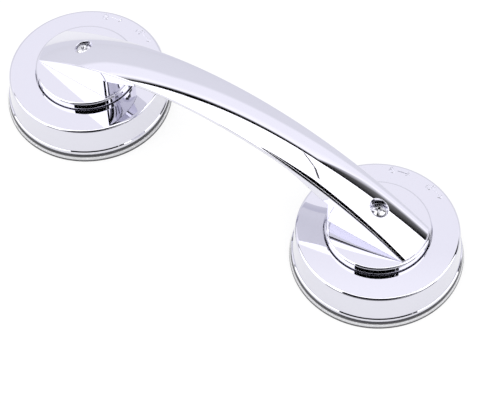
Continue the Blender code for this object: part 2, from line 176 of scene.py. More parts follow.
# ---- mesh building ----
class Skin:
    """A closed mesh whose face corners keep normals of their own, so that chrome reflects true curves."""

    def __init__(self):
        self.points = []
        self.faces = []
        self.normals = []

    def point(self, x, y, z):
        self.points.append(Vector((x, y, z)))
        return len(self.points) - 1

    def face(self, corners, normals):
        """Adds a face, turned so that it looks the way its normals do."""
        kept = [k for k, corner in enumerate(corners) if corner != corners[k - 1]]
        corners = [corners[k] for k in kept]
        normals = [normals[k] for k in kept]
        if len(corners) < 3:
            return
        middle = sum((self.points[c] for c in corners), Vector()) / len(corners)
        facing = Vector()
        for k, corner in enumerate(corners):
            facing += (self.points[corners[k - 1]] - middle).cross(self.points[corner] - middle)
        if facing.dot(sum(normals, Vector())) < 0:
            corners.reverse()
            normals.reverse()
        self.faces.append(corners)
        self.normals.extend(normals)

    def flat(self, corners, normal):
        self.face(corners, [normal] * len(corners))

    def strip(self, first, second, first_normals, second_normals, closed=False):
        """Faces between two rows of as many points."""
        count = len(first)
        for k in range(count if closed else count - 1):
            j = (k + 1) % count
            self.face([first[k], first[j], second[j], second[k]],
                      [first_normals[k], first_normals[j], second_normals[j], second_normals[k]])

    def fill(self, loops, normal):
        """Flat faces inside the first loop of points and outside the others."""
        flat = [c for loop in loops for c in loop]
        for triangle in tessellate_polygon([[self.points[c] for c in loop] for loop in loops]):
            self.flat([flat[k] for k in triangle], normal)

    def build(self, name, material):
        mesh = bpy.data.meshes.new(name)
        mesh.from_pydata(self.points, [], self.faces)
        mesh.shade_smooth()
        mesh.normals_split_custom_set([tuple(n.normalized()) for n in self.normals])
        mesh.materials.append(material)
        item = bpy.data.objects.new(name, mesh)
        bpy.context.scene.collection.objects.link(item)
        return item


def spread(start, end, count):
    return [start + (end - start) * i / (count - 1) for i in range(count)]


def turned_pairs(outline, closed):
    """Straight and round pieces of a profile, as pairs of (radius, height, normal).

    The outline holds (radius, height, rounding) and runs down its outer side.
    """
    count = len(outline)
    pieces = []
    starts = []
    ends = []
    for k, (r, z, rounding) in enumerate(outline):
        here = Vector((r, z))
        before = Vector(outline[k - 1][:2])
        after = Vector(outline[(k + 1) % count][:2])
        inner = closed or 0 < k < count - 1
        if not rounding or not inner:
            starts.append(here)
            ends.append(here)
            pieces.append([])
            continue
        come = (here - before).normalized()
        go = (after - here).normalized()
        turn = come.angle_signed(go)
        cut = rounding * math.tan(abs(turn) / 2)
        starts.append(here - come * cut)
        ends.append(here + go * cut)
        first = Vector((-come.y, come.x))
        side = 1 if turn > 0 else -1
        centre = starts[-1] - first * rounding * side
        steps = max(2, round(ROUND_STEPS * abs(turn) / (math.pi / 2)))
        arc = []
        for share in spread(0.0, 1.0, steps + 1):
            normal = first.copy()
            normal.rotate(Matrix.Rotation(-turn * share, 2))
            arc.append((centre + normal * rounding * side, normal))
        pieces.append(list(zip(arc, arc[1:])))
    pairs = []
    for k in range(count):
        pairs += pieces[k]
        if not closed and k == count - 1:
            break
        start = ends[k]
        end = starts[(k + 1) % count]
        along = (end - start).normalized()
        normal = Vector((-along.y, along.x))
        pairs.append(((start, normal), (end, normal)))
    return pairs


def lathe(name, outline, x, material, closed=True, steps=TURN_STEPS):
    """A turned solid about the upright axis through x."""
    skin = Skin()
    rows = {}

    def row(place):
        key = (round(place.x * 1e8), round(place.y * 1e8))
        if key not in rows:
            if place.x < 1e-7:
                rows[key] = [skin.point(x, 0, place.y)] * steps
            else:
                rows[key] = [skin.point(x + place.x * c, place.x * s, place.y) for c, s in circle]
        return rows[key]

    circle = [(math.cos(math.tau * k / steps), math.sin(math.tau * k / steps)) for k in range(steps)]
    for (start, first), (end, second) in turned_pairs(outline, closed):
        if (end - start).length < 1e-7:
            continue
        above = [Vector((first.x * c, first.x * s, first.y)) for c, s in circle]
        below = [Vector((second.x * c, second.x * s, second.y)) for c, s in circle]
        skin.strip(row(start), row(end), above, below, closed=True)
    return skin.build(name, material)


# ---- handle ----
def edge_z(x):
    return ARCH_TOP - ARCH_RADIUS + math.sqrt(ARCH_RADIUS ** 2 - x ** 2)


def foot_blend(x):
    t = min(max((abs(x) - BLEND_START) / (BLEND_END - BLEND_START), 0.0), 1.0)
    return t * t * (3 - 2 * t)


def wall_bottom(x):
    return edge_z(x) - WALL_MID - (WALL_FOOT - WALL_MID) * foot_blend(x)


def belly(x):
    return BELLY_MID + (BELLY_FOOT - BELLY_MID) * foot_blend(x)


def crown_z(x, y):
    return edge_z(x) + CROWN * (1 - (y / HALF_WIDTH) ** 2)


def crown_slope(x, y):
    return Vector((-x / math.sqrt(ARCH_RADIUS ** 2 - x ** 2), -2 * CROWN * y / HALF_WIDTH ** 2))


def crown_normal(x, y):
    slope = crown_slope(x, y)
    return Vector((-slope.x, -slope.y, 1)).normalized()


def rounded_edge(place, out, radius):
    """Points and normals from the crown over a small radius to an upright wall at place, which faces out."""
    lean = 0.0
    for _ in range(4):
        start = place - out * radius * (1 - math.sin(lean))
        lean = math.atan(-crown_slope(*start).dot(out))
    centre = place - out * radius
    centre_z = crown_z(*start) - radius * math.cos(lean)
    along = Vector((-out.y, out.x))
    rise = crown_slope(*start).dot(along)
    result = []
    for angle in spread(lean, math.pi / 2, ROUND_STEPS + 1):
        spot = centre + out * radius * math.sin(angle)
        z = centre_z + radius * math.cos(angle)
        normal = Vector((out.x * math.sin(angle) - along.x * rise * math.cos(angle),
                         out.y * math.sin(angle) - along.y * rise * math.cos(angle), math.cos(angle)))
        result.append((Vector((spot.x, spot.y, z)), normal.normalized()))
    return result


def end_outline(reach):
    """Half outline round the end of a foot, from its tip to where the straight side starts.

    Each entry holds a place, seen from the cup axis, and the way the wall faces. Reach is 1 or -1.
    """
    dx = math.sqrt((FOOT_RADIUS - CORNER_ROUND) ** 2 - (HALF_WIDTH - CORNER_ROUND) ** 2)
    corner = math.atan2(HALF_WIDTH - CORNER_ROUND, dx)
    result = []
    for angle in spread(0.0, corner, 13):
        out = Vector((reach * math.cos(angle), math.sin(angle)))
        result.append((out * FOOT_RADIUS, out))
    for angle in spread(corner, math.pi / 2, ROUND_STEPS + 1)[1:]:
        out = Vector((reach * math.cos(angle), math.sin(angle)))
        result.append((Vector((reach * dx, HALF_WIDTH - CORNER_ROUND)) + out * CORNER_ROUND, out))
    return result


def side_stations():
    """X of the rows along the straight sides."""
    tip = end_outline(1)[-1][0].x
    outer = CUP_OFFSET + tip
    inner = CUP_OFFSET - tip
    stops = [inner, CUP_OFFSET - PATCH, CUP_OFFSET + PATCH, outer]
    foot = spread(stops[0], stops[1], 9)[:-1] + spread(stops[1], stops[2], 13)[:-1]
    foot += spread(stops[2], stops[3], 9)
    arch_end = CUP_OFFSET - FOOT_RADIUS - 0.0004
    bend = spread(arch_end, inner, 4)[:-1]
    middle = spread(-arch_end, arch_end, 73)[1:-1]
    half = bend + foot
    return [-x for x in reversed(half)] + middle + half


def handle_rows():
    """Every row across the handle: its X, half width and the way its wall faces at positive Y."""
    right = [(CUP_OFFSET + p.x, p.y, out) for p, out in reversed(end_outline(1))][1:]
    left = [(-x, y, Vector((-out.x, out.y))) for x, y, out in reversed(right)]
    straight = [(x, HALF_WIDTH, Vector((0, 1))) for x in side_stations()]
    return left + straight + right


def pocket(skin, side, boundary):
    """Skin round a screw pocket, its rounded rim, wall and floor. Returns the hole's loop at the floor."""
    axis = Vector((side * CUP_OFFSET, 0))
    outs = [(Vector(skin.points[c][:2]) - axis).normalized() for c in boundary]
    rims = [rounded_edge(axis + out * POCKET_RADIUS, -out, POCKET_ROUND) for out in outs]
    starts = [Vector(rim[0][0][:2]) for rim in rims]
    loop = boundary
    normals = [crown_normal(*skin.points[c][:2]) for c in boundary]
    for share in (0.35, 0.7, 1.0):
        places = [Vector(skin.points[c][:2]).lerp(start, share) for c, start in zip(boundary, starts)]
        ring = [skin.point(p.x, p.y, crown_z(p.x, p.y)) for p in places]
        ring_normals = [crown_normal(p.x, p.y) for p in places]
        skin.strip(loop, ring, normals, ring_normals, closed=True)
        loop, normals = ring, ring_normals
    for step in range(1, ROUND_STEPS + 1):
        ring = [skin.point(*rim[step][0]) for rim in rims]
        ring_normals = [rim[step][1] for rim in rims]
        skin.strip(loop, ring, [rim[step - 1][1] for rim in rims], ring_normals, closed=True)
        loop = ring
    inward = [Vector((-out.x, -out.y, 0)) for out in outs]
    up = [Vector((0, 0, 1))] * len(outs)
    for radius, top, wall in ((POCKET_RADIUS, POCKET_FLOOR, inward), (POST_HOLE, POCKET_FLOOR, up),
                              (POST_HOLE, SOLE_Z, inward)):
        ring = [skin.point(axis.x + out.x * radius, out.y * radius, top) for out in outs]
        skin.strip(loop, ring, wall, wall, closed=True)
        loop = ring
    return loop


def patch_boundary(grid, xs, side):
    """The loop of grid points round a pocket's square, and the cells inside it."""
    rows = [i for i, x in enumerate(xs) if abs(x - side * CUP_OFFSET) < PATCH + TINY]
    first, last = rows[0], rows[-1]
    a, b = ACROSS // 4, ACROSS - ACROSS // 4
    loop = [grid[i][a] for i in range(first, last)] + [grid[last][j] for j in range(a, b)]
    loop += [grid[i][b] for i in range(last, first, -1)] + [grid[first][j] for j in range(b, a, -1)]
    cells = {(i, j) for i in range(first, last) for j in range(a, b)}
    return loop, cells


def make_handle_skin(material):
    """Crown, rounded edges, walls and feet of the plated handle, as one closed skin."""
    skin = Skin()
    rows = handle_rows()
    edges = [rounded_edge(Vector((x, y)), out, EDGE_ROUND) for x, y, out in rows]
    tip = skin.point(*edges[0][0][0]), skin.point(*edges[-1][0][0])
    xs = []
    grid = []
    for k, edge in enumerate(edges):
        reach = edge[0][0].y
        x = edge[0][0].x
        xs.append(x)
        if k in (0, len(edges) - 1):
            grid.append([tip[0 if k == 0 else 1]] * (ACROSS + 1))
        else:
            grid.append([skin.point(x, reach * s, crown_z(x, reach * s)) for s in spread(-1, 1, ACROSS + 1)])
    loops = []
    skipped = set()
    for _, sign in SIDES:
        loop, cells = patch_boundary(grid, xs, sign)
        loops.append(loop)
        skipped |= cells
    for i in range(len(grid) - 1):
        for j in range(ACROSS):
            if (i, j) not in skipped:
                corners = [grid[i][j], grid[i + 1][j], grid[i + 1][j + 1], grid[i][j + 1]]
                skin.face(corners, [crown_normal(*skin.points[c][:2]) for c in corners])
    holes = [pocket(skin, sign, loop) for (_, sign), loop in zip(SIDES, loops)]
    tips = {}
    walls = [edge_strip(skin, edges, grid, flip, tips) for flip in (1, -1)]
    foot_walls(skin, rows, walls, holes)
    return skin.build("handle_skin", material)


def edge_strip(skin, edges, grid, flip, tips):
    """The rounded edge along one long side. Returns its lowest row of points.

    Tips holds the points at the handle's two ends, which both sides share.
    """
    column = ACROSS if flip > 0 else 0
    previous = [row[column] for row in grid]
    mirror = Vector((1, flip, 1))
    for step in range(1, ROUND_STEPS + 1):
        ring = []
        for k, edge in enumerate(edges):
            if (k, step) in tips:
                ring.append(tips[k, step])
                continue
            ring.append(skin.point(*(edge[step][0] * mirror)))
            if k in (0, len(edges) - 1):
                tips[k, step] = ring[-1]
        above, below = [[edge[k][1] * mirror for edge in edges] for k in (step - 1, step)]
        skin.strip(previous, ring, above, below)
        previous = ring
    return previous


def row_key(x):
    """A whole number that stands for an X, to find a row's points again."""
    return round(x * 1e7)


def wall_face(skin, tops, feet, eaves, outs):
    """One face of a long wall, down to the sole on a foot or to the eaves over the hand gap."""
    corners = [*tops]
    normals = [*outs]
    if None in feet or None not in eaves:
        corners += [eaves[1], eaves[0]]
        normals += [outs[1], outs[0]]
    else:
        for k, points in ((1, (eaves[1], feet[1])), (0, (feet[0], eaves[0]))):
            kept = [point for point in points if point is not None]
            corners += kept
            normals += [outs[k]] * len(kept)
    skin.face(corners, normals)


def foot_walls(skin, rows, walls, holes):
    """Upright walls, the foot's inner ends, both soles and the strap's flat underside."""
    stations = side_stations()
    inner_x = CUP_OFFSET - end_outline(1)[-1][0].x
    down = Vector((0, 0, -1))
    soles = {-1: {}, 1: {}}
    eaves = {}
    for flip, top in zip((1, -1), walls):
        outs = [Vector((out.x, out.y * flip, 0)) for _, _, out in rows]
        bottoms = []
        for k, (x, y, _) in enumerate(rows):
            on_arch = abs(x) < inner_x + TINY
            tip = k in (0, len(rows) - 1)
            if tip and flip < 0:
                foot = soles[-1 if k == 0 else 1]["tip"]
            elif abs(x) > inner_x - TINY:
                foot = skin.point(x, y * flip, SOLE_Z)
            else:
                foot = None
            if tip:
                soles[-1 if k == 0 else 1]["tip"] = foot
            eave = skin.point(x, y * flip, wall_bottom(x)) if on_arch else None
            bottoms.append((foot, eave))
        for k in range(len(rows) - 1):
            feet, ends = zip(bottoms[k], bottoms[k + 1])
            wall_face(skin, top[k:k + 2], feet, ends, outs[k:k + 2])
        eaves[flip] = {row_key(x): e for (x, _, _), (_, e) in zip(rows, bottoms) if e is not None}
        standing = [(x, foot) for (x, _, _), (foot, _) in zip(rows, bottoms) if foot is not None]
        for sign in (-1, 1):
            soles[sign][flip] = [foot for x, foot in standing if x * sign > 0]
    arch_x = [x for x in stations if abs(x) < inner_x + TINY]
    flat_x = [x for x in arch_x if abs(x) < CUP_OFFSET - FOOT_RADIUS]
    for a, b in zip(flat_x, flat_x[1:]):
        corners = [eaves[flip][row_key(x)] for flip, x in ((1, a), (1, b), (-1, b), (-1, a))]
        skin.flat(corners, down)
    for sign, hole in zip((-1, 1), holes):
        inner_end(skin, sign, soles[sign], eaves, arch_x, flat_x, hole)


def inner_end(skin, sign, sole, eaves, arch_x, flat_x, hole):
    """The end of a foot that faces the hand gap, its sole and the strip of strap next to it."""
    half = end_outline(-1)
    outline = [(Vector((p.x, -p.y)), Vector((o.x, -o.y))) for p, o in reversed(half)] + half[1:]
    outline = [(Vector((sign * (CUP_OFFSET + p.x), p.y)), Vector((sign * o.x, o.y, 0))) for p, o in outline]
    inner_x = row_key(outline[0][0].x)
    side_a, side_b = [next(f for f in sole[flip] if row_key(skin.points[f].x) == inner_x)
                      for flip in (-1, 1)]
    feet = [side_a] + [skin.point(p.x, p.y, SOLE_Z) for p, _ in outline[1:-1]] + [side_b]
    tops = [skin.point(p.x, p.y, wall_bottom(p.x)) for p, _ in outline[1:-1]]
    tops = [eaves[-1][inner_x]] + tops + [eaves[1][inner_x]]
    outs = [o for _, o in outline]
    skin.strip(feet, tops, outs, outs)
    down = Vector((0, 0, -1))
    front = sorted(sole[-1], key=lambda f: skin.points[f].x * sign)
    back = sorted((f for f in sole[1] if f != sole["tip"]), key=lambda f: -skin.points[f].x * sign)
    front = [f for f in front if f != sole["tip"]] + [sole["tip"]]
    skin.fill([front + back + feet[-2:0:-1], hole], down)
    near = [x for x in arch_x if x * sign >= max(flat_x) - TINY]
    near.sort(key=lambda x: x * sign)
    front_eaves = [eaves[-1][row_key(x)] for x in near]
    back_eaves = [eaves[1][row_key(x)] for x in reversed(near)]
    skin.fill([front_eaves + tops[1:-1] + back_eaves], down)


def cover_point(u, s):
    """A point of the underside's visible face: u runs from foot to foot and s across, both from -1 to 1."""
    y = HALF_WIDTH * s
    x = u * (CUP_OFFSET - math.sqrt((FOOT_RADIUS + SEAM) ** 2 - y ** 2))
    return Vector((x, y, wall_bottom(x) - SEAM - belly(x) * (1 - s * s)))


def surface_normal(function, u, s):
    step = 1e-4
    du = function(u + step, s) - function(u - step, s)
    ds = function(u, min(s + step, 1)) - function(u, max(s - step, -1))
    return ds.cross(du).normalized()


def make_cover_skin(material):
    """The plated underside: a bulging belly that ends against both feet."""
    skin = Skin()
    us = spread(-1, 1, 97)
    ss = spread(-1, 1, 21)
    lower = [[cover_point(u, s) for s in ss] for u in us]
    normals = [[surface_normal(cover_point, u, s) for s in ss] for u in us]
    grid = [[skin.point(*p) for p in row] for row in lower]
    roof = []
    for row, points in zip(grid, lower):
        inner = [skin.point(p.x, p.y, wall_bottom(p.x) - SEAM) for p in points[1:-1]]
        roof.append([row[0]] + inner + [row[-1]])
    up = [Vector((0, 0, 1))] * len(ss)
    for k in range(len(us) - 1):
        skin.strip(grid[k], grid[k + 1], normals[k], normals[k + 1])
        skin.strip(roof[k], roof[k + 1], up, up)
    for k, side in ((0, 1), (-1, -1)):
        out = [Vector((-side, 0, 0))] * len(ss)
        skin.strip(grid[k], roof[k], out, out)
    return skin.build("handle_cover_skin", material)


# ---- materials ----
NOISE_SPAN = (0.3, 0.7)       # where most values of a noise texture lie
CHROME = (0.780, 0.775, 0.848)
CHROME_CLOUD = (0.768, 0.764, 0.840)
CUP_PAINTED_SHADE = 0.94              # the rings and bosses get a darker copy of the handle's chrome, painted shade that dims their reflections
PAINTED_RIM_SHADE_RADII = (0.0412, 0.0415)  # painted shade on the clear disc's rim fades in between these
PAINTED_RIM_SHADES = ((0.24, 0.05), (0.36, 0.50), (0.60, 0.60), (0.74, 0.05))    # share of its height, and grey of the painted shade on the rim


def new_material(name):
    material = bpy.data.materials.new(name)
    material.use_nodes = True
    nodes = material.node_tree.nodes
    return material, nodes, material.node_tree.links, nodes["Principled BSDF"]


def noise(nodes, links, scale, detail, source):
    texture = nodes.new("ShaderNodeTexNoise")
    texture.inputs["Scale"].default_value = scale
    texture.inputs["Detail"].default_value = detail
    links.new(source, texture.inputs["Vector"])
    return texture.outputs["Fac"]


def mapped(nodes, links, source, before, after):
    remap = nodes.new("ShaderNodeMapRange")
    remap.inputs["From Min"].default_value = before[0]
    remap.inputs["From Max"].default_value = before[1]
    remap.inputs["To Min"].default_value = after[0]
    remap.inputs["To Max"].default_value = after[1]
    links.new(source, remap.inputs["Value"])
    return remap.outputs["Result"]


def ranged(nodes, links, source, low_value, high_value):
    """Spreads a noise texture's usual values over a range."""
    return mapped(nodes, links, source, NOISE_SPAN, (low_value, high_value))


def from_cup_axis(nodes, links, place):
    """Distance of a place from the nearer cup's axis."""
    vector = place
    for operation, other in (("ABSOLUTE", None), ("SUBTRACT", (CUP_OFFSET, 0, 0)), ("MULTIPLY", (1, 1, 0))):
        node = nodes.new("ShaderNodeVectorMath")
        node.operation = operation
        links.new(vector, node.inputs[0])
        if other:
            node.inputs[1].default_value = other
        vector = node.outputs["Vector"]
    length = nodes.new("ShaderNodeVectorMath")
    length.operation = "LENGTH"
    links.new(vector, length.inputs[0])
    return length.outputs["Value"]


def bump(nodes, links, height, strength, distance, shader):
    node = nodes.new("ShaderNodeBump")
    node.inputs["Strength"].default_value = strength
    node.inputs["Distance"].default_value = distance
    links.new(height, node.inputs["Height"])
    links.new(node.outputs["Normal"], shader.inputs["Normal"])


def varied(name, color, other, roughness, metallic, scale, depth):
    """A finish whose colour, roughness and surface all vary a little with a fine grain."""
    material, nodes, links, shader = new_material(name)
    place = nodes.new("ShaderNodeTexCoord").outputs["Object"]
    grain = noise(nodes, links, scale, 4.0, place)
    cloud = noise(nodes, links, scale * 0.08, 2.0, place)
    mix = nodes.new("ShaderNodeMix")
    mix.data_type = "RGBA"
    mix.inputs["A"].default_value = (*color, 1)
    mix.inputs["B"].default_value = (*other, 1)
    links.new(ranged(nodes, links, cloud, 0.0, 1.0), mix.inputs["Factor"])
    links.new(mix.outputs["Result"], shader.inputs["Base Color"])
    links.new(ranged(nodes, links, grain, *roughness), shader.inputs["Roughness"])
    shader.inputs["Metallic"].default_value = metallic
    bump(nodes, links, grain, 0.4, depth, shader)
    return material


def chrome(name, shade=1.0):
    # a shade below 1 makes a darker copy of the chrome: painted shade
    color = [c * shade for c in CHROME]
    cloud = [c * shade for c in CHROME_CLOUD]
    return varied(name, color, cloud, (0.025, 0.05), 1.0, 90.0, 0.000002)


def clear_rubber(name):
    """Clear soft plastic. Its rim has painted shade: near black where it turns in under the ring and where
    it meets the wall, grey between, and less clear.
    """
    material, nodes, links, shader = new_material(name)
    place = nodes.new("ShaderNodeTexCoord").outputs["Object"]
    grain = noise(nodes, links, 300.0, 2.0, place)
    xyz = nodes.new("ShaderNodeSeparateXYZ")
    links.new(place, xyz.inputs["Vector"])
    height = mapped(nodes, links, xyz.outputs["Z"], (0.0, DISC_TOP), (0.0, 1.0))
    # painted shade down the rim's height: near black at its foot on the wall and under the ring's lip, grey
    # between
    painted_rim_shade = nodes.new("ShaderNodeValToRGB")
    painted_rim_shade.color_ramp.elements[0].color = (0.03, 0.03, 0.04, 1)
    painted_rim_shade.color_ramp.elements[1].color = (0.04, 0.04, 0.05, 1)
    for share, grey in PAINTED_RIM_SHADES:
        painted_rim_shade.color_ramp.elements.new(share).color = (grey, grey, grey * 1.03, 1)
    links.new(height, painted_rim_shade.inputs["Fac"])
    # the painted shade fades in towards the disc's outer edge, where the disc also turns less clear
    rim = mapped(nodes, links, from_cup_axis(nodes, links, place), PAINTED_RIM_SHADE_RADII, (0.0, 1.0))
    mix = nodes.new("ShaderNodeMix")
    mix.data_type = "RGBA"
    mix.inputs["A"].default_value = (0.93, 0.94, 0.96, 1)
    links.new(painted_rim_shade.outputs["Color"], mix.inputs["B"])
    links.new(rim, mix.inputs["Factor"])
    links.new(mix.outputs["Result"], shader.inputs["Base Color"])
    links.new(mapped(nodes, links, rim, (0.0, 1.0), (0.90, 0.15)), shader.inputs["Transmission Weight"])
    links.new(ranged(nodes, links, grain, 0.08, 0.16), shader.inputs["Roughness"])
    shader.inputs["IOR"].default_value = 1.45
    bump(nodes, links, grain, 0.15, 0.00001, shader)
    return material


def plastic(name, color, other):
    return varied(name, color, other, (0.38, 0.55), 0.0, 900.0, 0.00002)


def steel(name):
    return varied(name, (0.70, 0.70, 0.73), (0.62, 0.62, 0.65), (0.07, 0.14), 1.0, 700.0, 0.000003)


def make_materials():
    return {
        "handle": chrome("plated_handle"),
        "cover": chrome("plated_cover"),
        "boss": chrome("plated_boss", CUP_PAINTED_SHADE),
        "ring": chrome("plated_ring", CUP_PAINTED_SHADE),
        "screw": steel("screw_steel"),
        "inner": steel("inner_steel"),
        "brass": varied("insert_brass", (0.80, 0.62, 0.30), (0.7, 0.52, 0.24), (0.2, 0.35), 1.0, 600.0,
                        0.00001),
        "rubber": clear_rubber("clear_disc"),
        "sleeve": plastic("sleeve_plastic", (0.85, 0.85, 0.83), (0.80, 0.80, 0.77)),
        "plate": plastic("plate_plastic", (0.52, 0.52, 0.55), (0.46, 0.46, 0.49)),
        "follower": plastic("follower_plastic", (0.12, 0.12, 0.13), (0.09, 0.09, 0.10)),
        "washer": plastic("washer_plastic", (0.90, 0.90, 0.90), (0.84, 0.84, 0.83)),
    }


# ---- turned pieces ----
def make_ring(side, x, material):
    inside = RING_LOW_RADIUS - RING_WALL
    outline = [(RING_BORE, RING_TOP, 0.0003), (RING_TOP_RADIUS, RING_TOP, RING_EDGE),
               (RING_LOW_RADIUS, RING_STEP_Z, CRISP), (RING_LIP_RADIUS, RING_LIP_Z[1], CRISP),
               (RING_LIP_RADIUS, RING_LIP_Z[0], CRISP), (inside, RING_BOTTOM, CRISP),
               (RING_TOP_RADIUS - RING_WALL, RING_ROOF_Z, 0.0006),
               (SLEEVE_RADIUS + 0.0012, RING_ROOF_Z, 0.0004),
               (SLEEVE_RADIUS, LEDGE_Z[0], CRISP), (LEDGE_RADIUS, LEDGE_Z[0], CRISP),
               (LEDGE_RADIUS, LEDGE_Z[1], CRISP), (RING_BORE, LEDGE_Z[1], CRISP)]
    return lathe(f"{side}_ring_skin", outline, x, material)


def mark_strokes(centre, is_open):
    """A padlock and an arrow, as strokes of (along the ring, outwards) from their middle."""
    lock = -0.0042
    shackle = lock + (0.0016 if is_open else 0.0)
    arch = [(shackle - 0.0009, 0.0002)]
    arch += [(shackle - 0.0009 * math.cos(a), 0.0007 + 0.0009 * math.sin(a)) for a in spread(0, math.pi, 7)]
    arch.append((shackle + 0.0009, 0.0002))
    body = [(lock - 0.0013, 0.0001), (lock + 0.0013, 0.0001), (lock + 0.0013, -0.0016),
            (lock - 0.0013, -0.0016)]
    shaft = [(along, 0.0) for along in spread(-0.0012, 0.0050, 7)]
    head = [(0.0034, 0.0012), (0.0050, 0.0), (0.0034, -0.0012)]
    return [[(centre - along / MARK_RADIUS, MARK_RADIUS + out) for along, out in stroke]
            for stroke in (arch, body + body[:1], shaft, head)]


def make_marks(side, x, material):
    """Lock and unlock marks that stand a little proud of the ring."""
    curve = bpy.data.curves.new(f"{side}_marks", "CURVE")
    curve.dimensions = "3D"
    curve.bevel_depth = MARK_STROKE
    curve.bevel_resolution = 2
    curve.use_fill_caps = True
    for degrees, is_open in MARK_DEGREES:
        for stroke in mark_strokes(math.radians(degrees), is_open):
            spline = curve.splines.new("POLY")
            spline.points.add(len(stroke) - 1)
            for point, (angle, radius) in zip(spline.points, stroke):
                point.co = (x + radius * math.cos(angle), radius * math.sin(angle), RING_TOP, 1)
    source = bpy.data.objects.new(f"{side}_marks", curve)
    bpy.context.scene.collection.objects.link(source)
    mesh = bpy.data.meshes.new_from_object(source.evaluated_get(bpy.context.evaluated_depsgraph_get()))
    bpy.data.objects.remove(source)
    mesh.materials.clear()
    mesh.materials.append(material)
    mesh.shade_smooth()
    item = bpy.data.objects.new(f"{side}_ring_marks", mesh)
    bpy.context.scene.collection.objects.link(item)
    return item


def make_boss(side, x, material):
    skirt = BOSS_RADIUS - BOSS_WALL
    outline = [(BOSS_BORE, BOSS_TOP, CRISP), (BOSS_RADIUS, BOSS_TOP, BOSS_EDGE),
               (BOSS_RADIUS, BOSS_LOW_Z, CRISP), (skirt, BOSS_LOW_Z, CRISP), (skirt, BOSS_ROOF_Z, 0.0006),
               (BOSS_POST_RADII[1], BOSS_ROOF_Z, 0.0003), (BOSS_POST_RADII[0], BOSS_POST_Z, 0.0003),
               (BOSS_BORE, BOSS_POST_Z, CRISP)]
    return lathe(f"{side}_boss_skin", outline, x, material)


def make_disc(side, x, material):
    outline = [(0, FLANGE_Z[0], 0), (FLANGE_RADIUS, FLANGE_Z[0], CRISP), (FLANGE_RADIUS, FLANGE_Z[1], CRISP),
               (STUD_HOLE, FLANGE_Z[1], SHARP), (STUD_HOLE, PAD_TOP, CRISP), (PAD_RADII[0], PAD_TOP, 0.0010),
               (PAD_RADII[1], DISC_TOP, 0.0010), (DISC_EDGE_RADIUS, DISC_TOP, 0.0008),
               (DISC_RADIUS, DISC_EDGE_Z, 0.0004), (DISC_RADIUS, 0.0, CRISP), (LIP_INNER, 0.0, 0.0010),
               (DISH_RADII[1], DISH_Z[1], 0.0020), (DISH_RADII[0], DISH_Z[0], 0.0020), (0, DISH_Z[0], 0)]
    return lathe(f"{side}_disc_skin", outline, x, material, closed=False)


def radial_weights(disc, x, inner, outer):
    """The disc's middle follows the stud, its lip stays on the wall."""
    values = disc.data.attributes["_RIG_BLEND"].data
    for vert, value in zip(disc.data.vertices, values):
        r = math.hypot(vert.co.x - x, vert.co.y)
        t = min(max((outer - r) / (outer - inner), 0.0), 1.0)
        value.value = t * t * (3 - 2 * t)


def frozen(item):
    """Applies an object's modifiers."""
    depsgraph = bpy.context.evaluated_depsgraph_get()
    mesh = bpy.data.meshes.new_from_object(item.evaluated_get(depsgraph))
    item.modifiers.clear()
    item.data = mesh


def carve(item, cutters):
    for cutter in cutters:
        boolean = item.modifiers.new("cut", "BOOLEAN")
        boolean.operation = "DIFFERENCE"
        boolean.object = cutter
    frozen(item)
    for cutter in cutters:
        bpy.data.objects.remove(cutter)
    item.data.shade_smooth()
    item.data.set_sharp_from_angle(angle=math.radians(35))


def blade(x, turn):
    """One arm of a screw's cross recess, narrower at its floor."""
    bm = bmesh.new()
    bmesh.ops.create_cube(bm, size=1.0)
    for vert in bm.verts:
        narrow = 0.55 if vert.co.z < 0 else 1.25
        vert.co = Vector((vert.co.x * RECESS_LENGTH * narrow, vert.co.y * RECESS_WIDTH,
                          vert.co.z * RECESS_DEPTH * 2))
    mesh = bpy.data.meshes.new("blade")
    bm.to_mesh(mesh)
    bm.free()
    item = bpy.data.objects.new("blade", mesh)
    item.location = (x, 0, SCREW_TOP)
    item.rotation_euler = (0, 0, turn)
    bpy.context.scene.collection.objects.link(item)
    return item


def make_handle_screw(side, x, material):
    tip = low(f"{side}_handle_screw").z
    outline = [(0, SCREW_TOP, 0), (0.0016, SCREW_TOP, 0.0010),
               (HEAD_RADIUS, SCREW_TOP - SCREW_CROWN, 0.0006),
               (HEAD_RADIUS, SCREW_SEAT, SHARP), (SCREW_SHANK, SCREW_SEAT, SHARP),
               (SCREW_SHANK, tip + SCREW_POINT, SHARP), (SCREW_SHANK * 0.5, tip, SHARP), (0, tip, 0)]
    screw = lathe(f"{side}_screw_skin", outline, x, material, closed=False, steps=SCREW_STEPS)
    carve(screw, [blade(x, RECESS_TURN), blade(x, RECESS_TURN + math.pi / 2)])
    return screw


def make_handle_washer(side, x, material):
    bottom, top = WASHER_Z
    outline = [(POST_HOLE, top, SHARP), (WASHER_RADIUS, top, CRISP), (WASHER_RADIUS, bottom, SHARP),
               (POST_HOLE, bottom, SHARP)]
    return lathe(f"{side}_washer_skin", outline, x, material, steps=SCREW_STEPS)


# ---- putting the pieces on the frame ----
def place(item, body, slot, *nodes):
    if body:
        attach(item, body)
    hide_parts(*nodes)


def make_pieces(materials):
    place(make_handle_skin(materials["handle"]), "root", "handle_chrome", "handle_shell")
    place(make_cover_skin(materials["cover"]), "root", "underside_chrome", "handle_underside")
    for side, sign in SIDES:
        x = sign * CUP_OFFSET
        place(make_ring(side, x, materials["ring"]), f"{side}_ring", "ring_chrome", f"{side}_locking_ring")
        marks = make_marks(side, x, materials["ring"])
        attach(marks, f"{side}_ring")
        place(make_boss(side, x, materials["boss"]), "root", "boss_chrome", f"{side}_boss")
        place(make_handle_screw(side, x, materials["screw"]), "root", "screw_steel", f"{side}_handle_screw")
        washer = make_handle_washer(side, x, materials["screw"])
        place(washer, "root", "screw_steel", f"{side}_handle_washer")
        disc = make_disc(side, x, materials["rubber"])
        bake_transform(disc, "root", f"{side}_lift", start=(x + 0.0365, 0, 0), end=(x + 0.012, 0, 0))
        radial_weights(disc, x, *BEND_RADII)
        place(disc, None, "clear_rubber", f"{side}_suction_disc")


